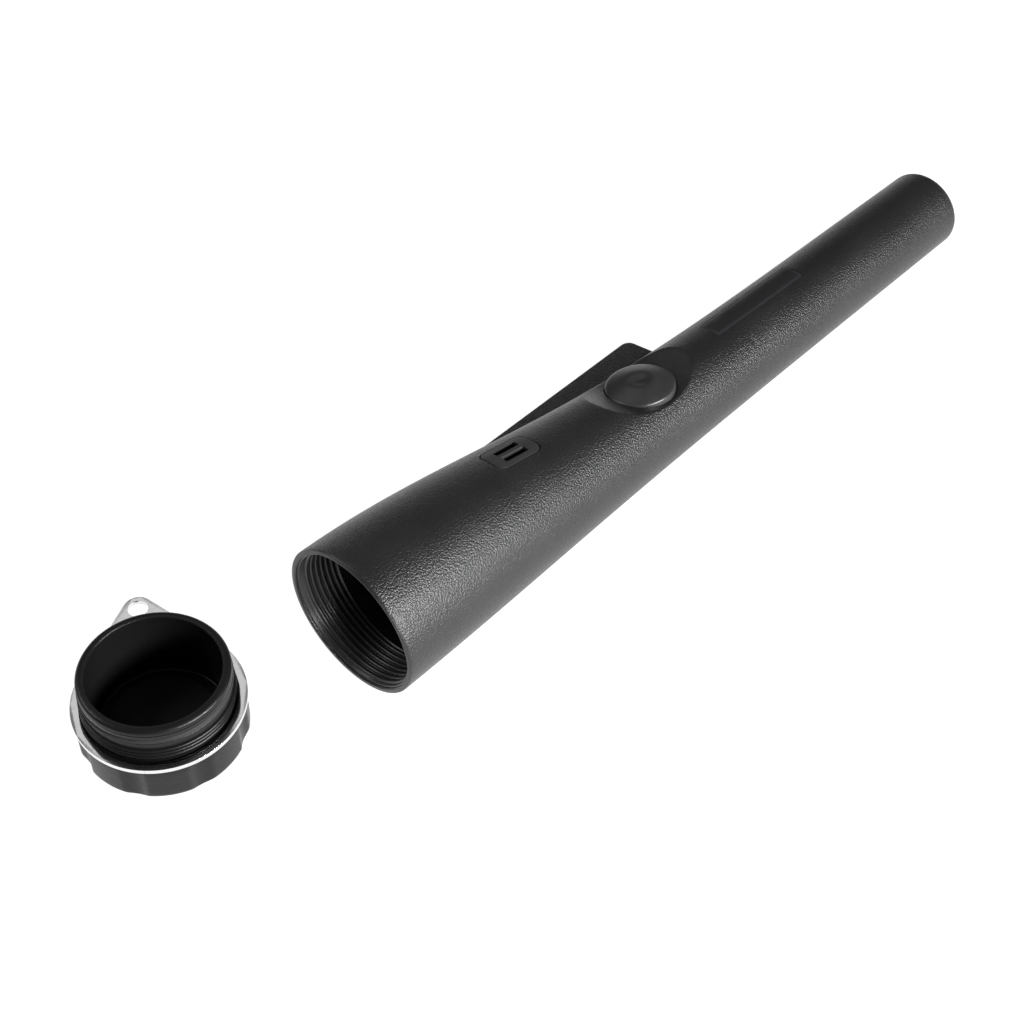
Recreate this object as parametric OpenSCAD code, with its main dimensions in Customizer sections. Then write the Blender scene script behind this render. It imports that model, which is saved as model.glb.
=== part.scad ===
// Hand-held pinpointer probe: a one-piece moulded body that tapers along its top only,
// with its screw cap unscrewed and stood beside the open end.
// The origin is the centre of the open mouth, +X runs along the body to the nose, +Z is up,
// and the surface that the probe and the cap lie on is at z = -mouth_r.

/* [Body] */
// Length of the moulded body, from its mouth to its nose
body_l = 225; // [215:5:275]
// Outer radius of the body at the mouth
mouth_r = 19.5; // [19:0.5:24]
// Outer radius of the body at the nose
nose_r = 11.2; // [10.8:0.2:14]
// Extra radius of the slim front part for each millimetre back from the nose
front_taper = 0.0085; // [0.004:0.0005:0.02]
// Length over which the wide rear end fades into the slim front part
flare_l = 75.5; // [66:0.5:92]
// Wall thickness of the body
wall = 1.6; // [1.2:0.1:1.9]
// Thickness of the closed nose
nose_wall = 2; // [1.5:0.5:4]
// Rounding of the edge at the nose
nose_round = 1.6; // [0.8:0.2:2.4]
// How far the body has rolled about its length as it lies, in degrees
lay_roll = 10.5; // [0:0.5:20]

/* [Scraper blade] */
// How far the blade stands out beyond the radius of the mouth
blade_proud = 3.3; // [2:0.1:6]
// Thickness of the blade
blade_t = 3; // [2:0.5:4]
// Front end of the blade, from the mouth
blade_front = 121.3; // [110:0.1:150]
// Length of the blade, with its sloped rear end
blade_l = 82; // [60:1:100]
// Radius of the blade's front corner
blade_round = 2.5; // [1:0.5:5]

/* [Speaker grille] */
// Centre of the grille, from the mouth
grille_x = 55.1; // [55:0.1:60]
// Length of the grille
grille_l = 14; // [10:0.5:16]
// Width of the grille
grille_w = 8.6; // [6:0.1:10]
// Length of each sound slot
slot_l = 7.3; // [4:0.1:9]
// Width of each sound slot
slot_w = 2.1; // [1:0.1:2.2]
// Distance between the two slots
slot_pitch = 3.2; // [3:0.1:5]

/* [Label] */
// Rear end of the blank label, from the mouth
label_x = 128.3; // [124:0.1:150]
// Length of the label
label_l = 35.5; // [20:0.5:50]
// Width of the label
label_w = 6.8; // [4:0.1:9]
// Thickness of the label and depth of its recess
label_t = 0.4; // [0.2:0.1:0.6]

/* [Button] */
// Centre of the push button, from the mouth
button_x = 101; // [92:1:110]
// Radius of the push button
button_r = 9; // [6:0.25:9.25]
// How far the button travels when it is pressed
button_travel = 0.8; // [0.4:0.1:1.2]
// Height of the button's edge above the floor of the finger dish
button_h = 2.1; // [1.4:0.1:3]
// Radius of the finger dish, whose axis runs across the body
dish_r = 31.5; // [28:0.5:50]

/* [Threads] */
// Depth of the threaded collar inside the mouth
collar_l = 11.4; // [9:0.1:14]
// Inner radius of the collar's thread crests
thread_r = 17.2; // [16.6:0.1:17.4]
// Height of a thread ridge
thread_h = 0.55; // [0.3:0.05:0.6]
// Pitch of the thread
thread_pitch = 1.5; // [1.2:0.1:2]

/* [Cap] */
// Where the cap stands, measured back from the mouth
cap_back = 39.9; // [36:0.1:60]
// Where the cap stands, measured sideways from the mouth
cap_side = 20.2; // [0:0.1:40]
// Height of the cap's fluted crown
crown_h = 10.4; // [8:0.1:16]
// Outer radius of the crown
crown_r = 19.3; // [18.8:0.1:20]
// Number of flutes round the crown
flutes = 8; // [6:1:14]
// Height of the threaded neck above the crown
neck_h = 11.1; // [9.6:0.1:14]
// Radius of the cup inside the cap
cup_r = 15.1; // [14.9:0.05:15.2]
// Thickness of the cap's closed end
cap_floor = 3; // [2:0.5:5]

/* [Lanyard ring] */
// Outer radius of the loose metal ring
ring_r = 19.7; // [19:0.1:21]
// Thickness of the ring
ring_t = 1.1; // [0.8:0.1:1.6]
// Distance from the ring's centre to its eye
eye_reach = 27.3; // [25:0.1:32]
// Radius of the eye
eye_r = 2.4; // [1.5:0.1:3]
// Metal round the eye
eye_wall = 1.2; // [0.8:0.1:2]
// Direction in which the eye points, in degrees from +X
eye_turn = 61; // [0:1:180]

/* [Battery bay] */
// Length of the 9 V battery that the bay takes, with its snaps
battery_l = 48.5; // [46:0.5:49]
// How far the battery stands out of the mouth, into the cap's cup
battery_out = 6; // [4:0.5:7]
// Width of the contact plate
plate_w = 24; // [22:0.5:26]
// Height of the contact plate
plate_h = 15; // [12:0.5:17]
// Thickness of the pad that presses on the battery
pad_t = 1.2; // [0.8:0.1:2]

/* [Electronics] */
// Length of the circuit board
board_l = 99; // [94:1:100]
// Thickness of the circuit board
board_t = 1.2; // [0.8:0.2:1.6]
// Length of the ferrite rod in the nose
ferrite_l = 60; // [50:1:64]
// Radius of the ferrite rod
ferrite_r = 4; // [3:0.5:4.5]
// Radius of the vibration motor
motor_r = 3.5; // [3:0.25:4]
// Radius of the speaker
speaker_r = 8; // [6:0.5:8]

/* [Hidden] */

$fn = 64;
gap = 0.25;            // between pieces that are only near each other
fit_gap = 0.05;        // between a moving piece and what guides it
snug = 0.02;           // between two pieces that are pressed or glued together
seam = 0.2;            // visible joint line round the grille
mesh_margin = 1.5;     // of the dust mesh past the grille's edge
mesh_t = 0.4;
grille_round = 2.2;
slot_round = 0.4;
label_round = 0.8;
cut = 1;               // how far a cutter runs past a face
shell_seg = 48;        // sides of the body's faceted skin
shell_step = 9;        // distance between its rings

flare = mouth_r - nose_r - front_taper * body_l;
function body_r(x) = nose_r + front_taper * (body_l - x) + flare * exp(-pow(x / flare_l, 2));
function inner_r(x) = body_r(x) - wall;
function axis_z(x) = body_r(x) - mouth_r;
function top_z(x) = axis_z(x) + body_r(x);

// Blade
blade_reach = mouth_r + blade_proud;
blade_back = blade_front - blade_l;
blade_slope = 20;      // length of its sloped rear end
blade_lift = 1;        // above the body's centre line
blade_z = axis_z(blade_front - blade_l / 2) + blade_lift;

// Finger dish and button
bore_r = button_r + 0.3;
dish_half_w = bore_r + 0.6;
dish_shift = 2.2;
dish_z = axis_z(button_x) + sqrt(pow(body_r(button_x), 2) - pow(dish_half_w, 2));
dish_under = dish_z - wall;
button_rim = dish_z + button_h;
button_dome = 1.3;
button_wall = 1.3;
button_edge = 1.2;
dimple_r = 3.3;
dimple_depth = 0.5;
ear_reach = bore_r + 2;
ear_w = 7;
ear_t = 1;
skirt_z = dish_under - fit_gap - ear_t;
seal_h = 0.9;

// Collar: how far it sits inside the rim, its thread's root and its outer radius
collar_in = 0.6;
collar_root = thread_r + thread_h;
collar_r = max(collar_root + 0.45, inner_r(0) + 0.3);    // it fills the mouth to its wall
collar_lead = 0.8;
ridge_root = 0.1;      // how far a ridge runs into what it stands on
collar_ridges = floor((collar_l - 2 * collar_lead) / thread_pitch);

// Contacts at the battery bay's inner end
snap_h = 2.6;
snap_pitch = 12.7;
stud_r = 2.9;
socket_r = 4;
socket_bore = 3.1;
socket_floor = 0.6;
plate_t = 1.6;
plate_round = 3;
peg_r = 1.5;
peg_l = 0.5;
plate_x = battery_l - battery_out + 0.5;
bulkhead_x = plate_x + plate_t + peg_l;
bulkhead_t = 2;
bulkhead_gap = snug + mesh_t + 2 * fit_gap;    // the dust mesh may reach over its edge
wire_r = 0.6;

// Board and carrier
carrier_x = bulkhead_x + bulkhead_t;
carrier_l = board_l + 4;
carrier_end = carrier_x + carrier_l;
carrier_r = inner_r(carrier_end) - gap;
carrier_z = axis_z(carrier_end);
carrier_t = 1.4;
end_t = 2;
board_x = carrier_x + 1.5;
board_z = carrier_z - 1.1;
board_under = board_z - board_t;
board_w = 2 * sqrt(pow(carrier_r, 2) - pow(carrier_z - board_under, 2)) - 2 * gap;
screw_r = 1;
screw_head_r = 1.8;
screw_head_h = 1.2;
screw_in = 3;
screw_places = [for (x = [board_x + screw_in, board_x + board_l - screw_in], s = [-1, 1])
    [x, s * (board_w / 2 - screw_in)]];
screw_l = 4.5;         // depth of its hole in the boss
screw_tip = 0.5;       // left free below the screw
boss_r = 2.2;
wire_y = 2.6;
wire_z = board_z + wire_r + fit_gap;
wire_run = 6;          // how far a battery lead lies over the board
coil_wire_run = 4.5;   // how far a coil lead does

// Switch under the button
switch_w = 6;
switch_h = 3.5;
switch_floor = 0.8;
plunger_r = 1.6;
plunger_h = 0.9;       // of it above the switch
plunger_foot = switch_floor + button_travel + 0.1;
stem_r = 1.9;
stem_under = board_z + switch_h + plunger_h + fit_gap;

// What stands on the board, placed from the button: chips as [along, length, width]
chip_places = [[-28, 6, 4], [-18, 9, 9], [12, 5, 4]];
chip_h = 1.5;
capacitor_places = [[-10, 5], [8, 5], [8, -5]];
capacitor_r = 2.4;
capacitor_h = 5.5;
trimmer_place = [-10, -5];
trimmer_w = 5;
trimmer_h = 3;
dial_r = 1.6;
dial_h = 0.5;

// Speaker
speaker_ahead = 1.5;    // of the speaker's centre, past the grille's
speaker_x = grille_x + speaker_ahead;
speaker_lift = 5;      // above the body's centre line
magnet_r = 4;
magnet_h = 1.6;
frame_h = 3.6;
frame_t = 0.6;
cone_r = speaker_r - frame_t - snug;
cone_h = frame_h - 2 * frame_t;
cone_t = 0.4;
cone_foot_r = 1.5;
speaker_z = axis_z(speaker_x) + speaker_lift;
bracket_t = 0.8;
leg_w = 2;

// Vibration motor
motor_l = 13;
motor_back = 26;       // from its rear end to the carrier's front end
motor_x = carrier_end - motor_back;
motor_z = board_z + motor_r + 0.4;
shaft_r = 0.5;
shaft_l = 8;
shaft_in = 4;          // depth of its hole in the can
shaft_play = 0.2;      // free at the shaft's inner end, and before the weight
weight_r = 2.9;
weight_hub_r = 1.2;
weight_l = 4;

// Search coils in the nose
coil_x = carrier_end;
nose_z = axis_z(body_l);
pad_l = 4;
former_l = body_l - nose_wall - coil_x - pad_l;
former_bore = ferrite_r + fit_gap;
former_r = ferrite_r + 1.4;
flange_r = inner_r(body_l) - 2 * gap;
flange_t = 1.6;
winding_r = flange_r - 0.9;
receive_l = 0.42 * former_l;
coil_gap = 0.12 * former_l;
flange_starts = [0, flange_t + receive_l, 2 * flange_t + receive_l + coil_gap, former_l - flange_t];

// Cap, in its own frame: z = 0 is the face that it stands on
cap_h = crown_h + neck_h;
neck_r = thread_r - 0.3;
pilot_r = thread_r - 0.1;
cap_crest_h = thread_h + 0.15;
cap_thread_z = crown_h + ring_t + 1.7;
rim_l = 2.5;           // plain band above the seal's groove
groove_z = cap_h - rim_l - 1.8;
groove_w = 1.8;
groove_r = neck_r - 1;
cap_ridges = floor((groove_z - cap_thread_z) / thread_pitch + 0.5);
o_ring_t = 0.7;
pad_margin = 3;        // from the pad's edge to the wall of the cup
crown_edge = 2;        // rounding of the edge it stands on
crown_lip = 1;         // bevel under the ring
neck_bevel = 0.5;
flute_depth = 0.9;
flute_r = 5.1;
flute_turn = 32;
ring_hole_r = neck_r + cap_crest_h + 0.2;
ring_lift = 0.02;
tangent = acos((ring_r - eye_r - eye_wall) / eye_reach);

// Lays the body down as it rolls to rest, about the axis of its mouth
module laid() {
    rotate([-lay_roll, 0, 0]) children();
}

// Turns a piece drawn along +Z so that it runs along +X from x, at height z
module along(x, z = 0) {
    translate([x, 0, z]) rotate([0, 90, 0]) children();
}

// A closed skin through round sections, each given as [x, height of centre, radius]
module skin(sections, sides) {
    n = len(sections);
    last = (n - 1) * sides;
    rear_hub = n * sides;
    rings = [for (s = sections) for (i = [0:sides - 1])
        [s[0], s[2] * sin(360 * i / sides), s[1] + s[2] * cos(360 * i / sides)]];
    hubs = [for (s = [sections[0], sections[n - 1]]) [s[0], 0, s[1]]];
    ends = [for (i = [0:sides - 1]) let (j = (i + 1) % sides)
        each [[rear_hub, j, i], [rear_hub + 1, last + i, last + j]]];
    walls = [for (k = [0:n - 2]) for (i = [0:sides - 1]) let (j = (i + 1) % sides)
        each [[k * sides + i, (k + 1) * sides + j, (k + 1) * sides + i],
              [k * sides + i, k * sides + j, (k + 1) * sides + j]]];
    polyhedron(concat(rings, hubs), concat(ends, walls));
}

// The body's outer form, made smaller all round by inset
module body_form(inset = 0) {
    straight = body_l - nose_round;
    rings = ceil(straight / shell_step);
    skin(concat(
        [for (k = [0:rings]) let (x = straight * k / rings) [x, axis_z(x), body_r(x) - inset]],
        [for (a = [30:30:90]) [straight + nose_round * sin(a), nose_z,
            nose_r - nose_round * (1 - cos(a)) - inset]]), shell_seg);
}

// The hollow inside the body
module cavity() {
    depth = body_l - nose_wall;
    rings = ceil(depth / shell_step);
    skin([for (k = [0:rings]) let (x = k == 0 ? -cut : depth * k / rings)
        [x, axis_z(x), inner_r(x)]], shell_seg);
}

module dish(extra = 0) {
    translate([button_x + dish_shift, 0, dish_z + dish_r]) rotate([90, 0, 0])
        cylinder(r = dish_r + extra, h = 4 * mouth_r, center = true, $fn = 128);
}

// A flat bar with rounded corners, centred on x = y = 0 and running up from z = 0
module rounded_bar(l, w, h, r) {
    translate([-l / 2 + r, -w / 2, 0]) cube([l - 2 * r, w, h]);
    translate([-l / 2, -w / 2 + r, 0]) cube([l, w - 2 * r, h]);
    for (sx = [-1, 1], sy = [-1, 1])
        translate([sx * (l / 2 - r), sy * (w / 2 - r), 0]) cylinder(r = r, h = h);
}

module grille_prism(extra = 0) {
    translate([grille_x, 0, top_z(grille_x) - 3 * wall])
        rounded_bar(grille_l + 2 * extra, grille_w + 2 * extra, 6 * wall, grille_round);
}

module label_prism(extra = 0) {
    translate([label_x + label_l / 2, 0, top_z(label_x) - 3 * wall])
        rounded_bar(label_l + 2 * extra, label_w + 2 * extra, 6 * wall, label_round);
}

module blade() {
    corner = [blade_front - blade_round, blade_reach - blade_round];
    translate([0, 0, blade_z - blade_t / 2]) linear_extrude(blade_t)
        polygon(concat([[blade_back, 0], [blade_back, body_r(blade_back) - wall],
            [blade_back + blade_slope, blade_reach]],
            [for (a = [90:-15:0]) corner + blade_round * [cos(a), sin(a)]],
            [[blade_front, 0]]));
}

module housing() color("#2b2b2d") laid() difference() {
    union() {
        body_form();
        blade();
    }
    dish();
    difference() {
        cavity();
        dish(wall);
    }
    along(-cut) cylinder(r = collar_r, h = collar_l + collar_in + cut);
    translate([button_x, 0, dish_under - cut]) cylinder(r = bore_r, h = 4 * wall);
    grille_prism(seam / 2);
    difference() {
        label_prism(seam / 2);
        body_form(label_t);
    }
}

// Rounded ridges as rings round the Z axis, standing out from radius r by h
module ridges(r, h, count) {
    for (k = [0:count - 1]) translate([0, 0, k * thread_pitch]) rotate_extrude()
        polygon([[r, -0.45 * thread_pitch], [r + h, -0.12 * thread_pitch],
            [r + h, 0.12 * thread_pitch], [r, 0.45 * thread_pitch]]);
}

module threaded_collar() color("#1d1d1f") laid() along(collar_in) difference() {
    cylinder(r = collar_r - snug, h = collar_l);
    translate([0, 0, -cut]) cylinder(r = thread_r, h = collar_l + 2 * cut);
    translate([0, 0, collar_lead + thread_pitch / 2])
        ridges(thread_r - ridge_root, thread_h + ridge_root, collar_ridges);
    translate([0, 0, -0.01]) cylinder(r1 = collar_root, r2 = thread_r, h = collar_lead / 2);
}

module speaker_grille() color("#232325") laid() difference() {
    intersection() {
        body_form();
        grille_prism(-seam / 2);
    }
    body_form(wall);
    for (s = [-1, 1])
        translate([grille_x, s * slot_pitch / 2, top_z(grille_x) - 3 * wall])
            rounded_bar(slot_l, slot_w, 6 * wall, slot_round);
}

module grille_mesh() color("#141415") laid() difference() {
    intersection() {
        body_form(wall + snug);
        grille_prism(mesh_margin);
    }
    body_form(wall + snug + mesh_t);
}

module label_plate() color("#1b1b1d") laid() difference() {
    intersection() {
        body_form();
        label_prism();
    }
    body_form(label_t);
}

module power_button() color("#262628") laid() translate([button_x, 0, 0]) {
    crown = button_rim + button_dome;
    roof = button_rim - button_wall;
    shoulder = [button_r - button_edge, button_rim - button_edge];
    rotate_extrude() polygon(concat(
        [for (a = [0:30:180]) [dimple_r * a / 180, crown - dimple_depth * (1 + cos(a)) / 2]],
        [for (a = [15:15:90]) shoulder + button_edge * [sin(a), cos(a)]],
        [[button_r, skirt_z], [button_r - button_wall, skirt_z],
         [button_r - button_wall, roof], [0, roof]]));
    translate([0, 0, stem_under]) cylinder(r = stem_r, h = roof + button_wall / 2 - stem_under);
    difference() {
        translate([-ear_reach, -ear_w / 2, skirt_z]) cube([2 * ear_reach, ear_w, ear_t]);
        translate([0, 0, skirt_z - cut]) cylinder(r = button_r - button_wall / 2, h = ear_t + 2 * cut);
    }
}

module button_seal() color("#111112") laid() translate([button_x, 0, dish_z - seal_h - 0.1])
    difference() {
        cylinder(r = bore_r - fit_gap, h = seal_h);
        translate([0, 0, -cut]) cylinder(r = button_r, h = seal_h + 2 * cut);
    }

module contact_plate() color("#26262a") laid() {
    translate([0, 0, axis_z(plate_x)]) rotate([90, 0, 90]) translate([0, 0, plate_x])
        rounded_bar(plate_w, plate_h, plate_t, plate_round);
    for (s = [-1, 1]) translate([0, s * plate_w / 3, 0])
        along(plate_x + plate_t / 2, axis_z(plate_x)) cylinder(r = peg_r, h = plate_t / 2 + peg_l);
}

// A stud and a socket that stand on the plate and snap to the battery's own
module snap_contacts() color("#c9c9c4") laid() {
    translate([0, snap_pitch / 2, 0]) along(plate_x - snap_h, axis_z(plate_x))
        cylinder(r = stud_r, h = snap_h);
    translate([0, -snap_pitch / 2, 0]) along(plate_x - snap_h, axis_z(plate_x)) difference() {
        cylinder(r = socket_r, h = snap_h);
        translate([0, 0, -cut]) cylinder(r = socket_bore, h = snap_h - socket_floor + cut);
    }
}

// The leads' places in a wall that they pass through
module lead_holes(x, l) {
    for (s = [-1, 1]) translate([0, s * wire_y, 0]) along(x - cut, wire_z)
        cylinder(r = wire_r + gap, h = l + 2 * cut);
}

module bulkhead() color("#2f2f33") laid() difference() {
    along(bulkhead_x, axis_z(carrier_x)) cylinder(r = inner_r(carrier_x) - bulkhead_gap, h = bulkhead_t);
    lead_holes(bulkhead_x, bulkhead_t);
}

module pcb_carrier() color("#3a3a3e") laid() difference() {
    union() {
        difference() {
            along(carrier_x, carrier_z) cylinder(r = carrier_r, h = carrier_l);
            along(carrier_x - cut, carrier_z)
                cylinder(r = carrier_r - carrier_t, h = carrier_l - end_t + cut);
            translate([carrier_x - cut, -carrier_r, board_under])
                cube([carrier_l - end_t + cut, 2 * carrier_r, 2 * carrier_r]);
        }
        intersection() {
            along(carrier_x, carrier_z) cylinder(r = carrier_r - carrier_t / 2, h = carrier_l);
            for (p = screw_places) translate([p[0], p[1], board_under - 2 * carrier_r])
                cylinder(r = boss_r, h = 2 * carrier_r);
        }
    }
    for (p = screw_places) translate([p[0], p[1], board_under - screw_l])
        cylinder(r = screw_r + snug, h = screw_l + cut);
    lead_holes(carrier_end - end_t, end_t);
}

module main_board() color("#1f5a34") laid() difference() {
    translate([board_x, -board_w / 2, board_under]) cube([board_l, board_w, board_t]);
    for (p = screw_places) translate([p[0], p[1], board_under - cut])
        cylinder(r = screw_r + 0.1, h = board_t + 2 * cut);
}

module board_screws() color("#b8b8b4") laid() for (p = screw_places) translate(p) {
    translate([0, 0, board_under - screw_l + screw_tip])
        cylinder(r = screw_r, h = screw_l + board_t - screw_tip + screw_head_h / 2);
    translate([0, 0, board_z]) cylinder(r = screw_head_r, h = screw_head_h);
}

// A chip that sits on the board with its centre at [x, y]
module chip(x, y, l, w, h) {
    translate([x - l / 2, y - w / 2, board_z]) cube([l, w, h]);
}

module control_chips() color("#18181a") laid()
    for (c = chip_places) chip(button_x + c[0], 0, c[1], c[2], chip_h);

module capacitors() color("#27364f") laid()
    for (p = capacitor_places) translate([button_x + p[0], p[1], board_z])
        cylinder(r = capacitor_r, h = capacitor_h);

module tuning_trimmer() color("#2d5f9a") laid() {
    chip(button_x + trimmer_place[0], trimmer_place[1], trimmer_w, trimmer_w, trimmer_h);
    translate([button_x + trimmer_place[0], trimmer_place[1], board_z + trimmer_h / 2])
        cylinder(r = dial_r, h = trimmer_h / 2 + dial_h);
}

module switch_body() color("#222224") laid() difference() {
    chip(button_x, 0, switch_w, switch_w, switch_h);
    translate([button_x, 0, board_z + switch_floor]) cylinder(r = plunger_r + fit_gap, h = switch_h);
}

module switch_plunger() color("#c8c8c4") laid()
    translate([button_x, 0, board_z + plunger_foot])
        cylinder(r = plunger_r, h = switch_h + plunger_h - plunger_foot);

module speaker_bracket() color("#333337") laid() translate([speaker_x, 0, 0]) {
    translate([0, 0, speaker_z - bracket_t]) difference() {
        cylinder(r = speaker_r, h = bracket_t);
        translate([0, 0, -cut]) cylinder(r = magnet_r + fit_gap, h = bracket_t + 2 * cut);
    }
    for (s = [-1, 1]) translate([-leg_w / 2, s * (speaker_r - leg_w) - leg_w / 2, board_z])
        cube([leg_w, leg_w, speaker_z - bracket_t / 2 - board_z]);
}

module speaker_frame() color("#8d8f92") laid() translate([speaker_x, 0, speaker_z]) difference() {
    cylinder(r = speaker_r, h = frame_h);
    translate([0, 0, frame_t]) cylinder(r = speaker_r - frame_t, h = frame_h);
}

module speaker_magnet() color("#6c6e70") laid() translate([speaker_x, 0, speaker_z - magnet_h])
    cylinder(r = magnet_r, h = magnet_h);

module speaker_cone() color("#141414") laid() translate([speaker_x, 0, speaker_z + frame_t])
    rotate_extrude() polygon([[0, 0], [cone_foot_r, 0], [cone_r, cone_h - cone_t], [cone_r, cone_h],
        [cone_foot_r + cone_t, 2 * cone_t], [0, 3 * cone_t]]);

module motor_can() color("#a9abad") laid() difference() {
    along(motor_x, motor_z) cylinder(r = motor_r, h = motor_l);
    along(motor_x + motor_l - shaft_in, motor_z) cylinder(r = shaft_r + fit_gap, h = shaft_in + cut);
}

module motor_clip() color("#26262a") laid() difference() {
    chip(motor_x + motor_l / 2, 0, motor_l - 4, 2 * motor_r + 2, motor_r);
    along(motor_x, motor_z) cylinder(r = motor_r + snug, h = motor_l);
}

module motor_shaft() color("#c4c4c0") laid()
    along(motor_x + motor_l - shaft_in + shaft_play, motor_z) cylinder(r = shaft_r, h = shaft_l);

module eccentric_weight() color("#8a8270") laid()
    along(motor_x + motor_l + shaft_play, motor_z) difference() {
        union() {
            cylinder(r = weight_hub_r, h = weight_l);
            intersection() {
                cylinder(r = weight_r, h = weight_l);
                translate([0, -weight_r, 0]) cube([2 * weight_r, 2 * weight_r, weight_l]);
            }
        }
        translate([0, 0, -cut]) cylinder(r = shaft_r, h = weight_l + 2 * cut);
    }

module battery_leads() color("#a02420") laid()
    for (s = [-1, 1]) translate([0, s * wire_y, 0])
        along(bulkhead_x - peg_l / 2, wire_z) cylinder(r = wire_r, h = bulkhead_t + wire_run);

module coil_leads() color("#b06a2c") laid()
    for (s = [-1, 1]) translate([0, s * wire_y, 0])
        along(carrier_end - end_t - coil_wire_run, wire_z)
            cylinder(r = wire_r, h = end_t + coil_wire_run);

module ferrite_rod() color("#3b3c3e") laid()
    along(coil_x + (former_l - ferrite_l) / 2, nose_z) cylinder(r = ferrite_r, h = ferrite_l);

module coil_former() color("#d8d2c0") laid() along(coil_x, nose_z) difference() {
    union() {
        cylinder(r = former_r, h = former_l);
        for (z = flange_starts) translate([0, 0, z]) cylinder(r = flange_r, h = flange_t);
    }
    translate([0, 0, -cut]) cylinder(r = former_bore, h = former_l + 2 * cut);
}

// A winding between one flange of the former and the next
module winding(first) {
    start = flange_starts[first] + flange_t;
    along(coil_x + start, nose_z) difference() {
        cylinder(r = winding_r, h = flange_starts[first + 1] - start);
        translate([0, 0, -cut]) cylinder(r = former_r, h = former_l);
    }
}

module receive_winding() color("#a5572a") laid() winding(0);

module transmit_winding() color("#b8683a") laid() winding(2);

module nose_pad() color("#4a4a4c") laid()
    along(coil_x + former_l, nose_z) cylinder(r = flange_r, h = pad_l);

// Stands the cap on its crown where it has been set down
module set_down() {
    translate([-cap_back, cap_side, -mouth_r]) children();
}

module cap_shell() color("#232325") set_down() difference() {
    union() {
        rotate_extrude() polygon(concat([[0, 0]],
            [for (a = [0:15:90]) [crown_r - crown_edge * (1 - sin(a)), crown_edge * (1 - cos(a))]],
            [[crown_r, crown_h - crown_lip], [crown_r - crown_lip, crown_h], [neck_r, crown_h],
             [neck_r, groove_z], [groove_r, groove_z], [groove_r, groove_z + groove_w],
             [pilot_r, groove_z + groove_w], [pilot_r, cap_h - neck_bevel], [pilot_r - neck_bevel, cap_h],
             [cup_r, cap_h], [cup_r, cap_floor], [0, cap_floor]]));
        translate([0, 0, cap_thread_z]) ridges(neck_r - ridge_root, cap_crest_h + ridge_root, cap_ridges);
    }
    for (k = [0:flutes - 1]) rotate([0, 0, 360 * k / flutes + flute_turn])
        translate([crown_r + flute_r - flute_depth, 0, -cut])
            cylinder(r = flute_r, h = crown_h + cut + 0.01);
}

// A pad in the bottom of the cup, which presses the battery onto its contacts
module battery_pad() color("#1a1a1b") set_down() translate([0, 0, cap_floor])
    cylinder(r = cup_r - pad_margin, h = pad_t);

module cap_o_ring() color("#0f0f10") set_down() translate([0, 0, groove_z + groove_w / 2])
    rotate_extrude() translate([groove_r + o_ring_t + snug, 0]) circle(o_ring_t);

module lanyard_ring() color("#d9dadb") set_down() rotate([0, 0, eye_turn])
    translate([0, 0, crown_h + ring_lift]) difference() {
        union() {
            cylinder(r = ring_r, h = ring_t);
            translate([eye_reach, 0, 0]) cylinder(r = eye_r + eye_wall, h = ring_t);
            linear_extrude(ring_t) polygon([for (t = [[0, ring_r, 1], [0, ring_r, -1],
                [eye_reach, eye_r + eye_wall, -1], [eye_reach, eye_r + eye_wall, 1]])
                [t[0] + t[1] * cos(tangent), t[2] * t[1] * sin(tangent)]]);
        }
        translate([0, 0, -cut]) cylinder(r = ring_hole_r, h = ring_t + 2 * cut);
        translate([eye_reach, 0, -cut]) cylinder(r = eye_r, h = ring_t + 2 * cut);
    }

housing();
threaded_collar();
speaker_grille();
grille_mesh();
label_plate();
power_button();
button_seal();
contact_plate();
snap_contacts();
bulkhead();
pcb_carrier();
main_board();
control_chips();
capacitors();
tuning_trimmer();
board_screws();
switch_body();
switch_plunger();
speaker_bracket();
speaker_frame();
speaker_magnet();
speaker_cone();
motor_can();
motor_clip();
motor_shaft();
eccentric_weight();
battery_leads();
coil_leads();
ferrite_rod();
coil_former();
receive_winding();
transmit_winding();
nose_pad();
lanyard_ring();
cap_shell();
cap_o_ring();
battery_pad();
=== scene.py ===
from math import acos, ceil, cos, degrees, exp, hypot, pi, radians, sin, sqrt

import bmesh
import bpy
from mathutils import Matrix, Vector


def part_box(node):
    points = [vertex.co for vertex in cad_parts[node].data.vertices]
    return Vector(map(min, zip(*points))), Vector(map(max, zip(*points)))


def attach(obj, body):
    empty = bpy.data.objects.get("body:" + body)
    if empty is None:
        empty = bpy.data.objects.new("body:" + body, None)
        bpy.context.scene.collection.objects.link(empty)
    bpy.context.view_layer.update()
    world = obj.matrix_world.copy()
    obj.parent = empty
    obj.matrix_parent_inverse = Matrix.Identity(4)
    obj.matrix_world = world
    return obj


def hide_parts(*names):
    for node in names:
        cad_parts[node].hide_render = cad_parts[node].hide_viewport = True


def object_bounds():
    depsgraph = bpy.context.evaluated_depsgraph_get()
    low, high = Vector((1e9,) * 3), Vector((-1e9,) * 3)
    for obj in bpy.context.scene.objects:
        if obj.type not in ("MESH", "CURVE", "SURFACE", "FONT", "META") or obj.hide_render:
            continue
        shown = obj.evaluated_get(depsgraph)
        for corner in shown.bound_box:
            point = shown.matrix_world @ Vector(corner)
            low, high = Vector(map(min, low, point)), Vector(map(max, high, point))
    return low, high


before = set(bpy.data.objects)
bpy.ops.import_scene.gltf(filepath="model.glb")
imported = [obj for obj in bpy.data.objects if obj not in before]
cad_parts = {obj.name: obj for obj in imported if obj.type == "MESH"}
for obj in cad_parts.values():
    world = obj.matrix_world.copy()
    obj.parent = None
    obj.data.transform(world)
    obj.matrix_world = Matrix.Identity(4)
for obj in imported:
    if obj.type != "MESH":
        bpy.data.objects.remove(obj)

cad_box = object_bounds()

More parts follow.
